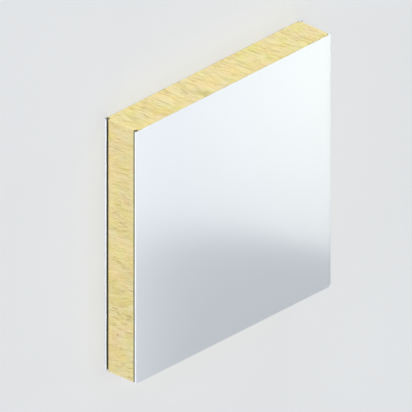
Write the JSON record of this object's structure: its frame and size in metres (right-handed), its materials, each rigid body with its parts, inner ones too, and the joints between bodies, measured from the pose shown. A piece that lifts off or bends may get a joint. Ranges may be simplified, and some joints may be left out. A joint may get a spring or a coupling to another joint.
{
  "type": "insulated sandwich panel",
  "caption": "Flat wall panel of two white roll-formed steel facings glued to a mineral-wool core, with hemmed female and lipped male long edges and square-cut ends.",
  "frame": {"origin": "middle of the outline, on the back facing's outer surface", "axes": "+X across the cover width from the female edge to the male edge, +Y along the panel between its cut ends, +Z from the back facing to the front facing"},
  "size_m": [1.012, 1, 0.15],
  "materials": {
    "white_steel": "smooth semi-gloss coil coating",
    "mineral_wool": "matt, fibrous, fibres across the thickness"
  },
  "bodies": {
    "root": {"front_sheet": "white_steel", "back_sheet": "white_steel", "wool_core": "mineral_wool"}
  },
  "joints": []
}
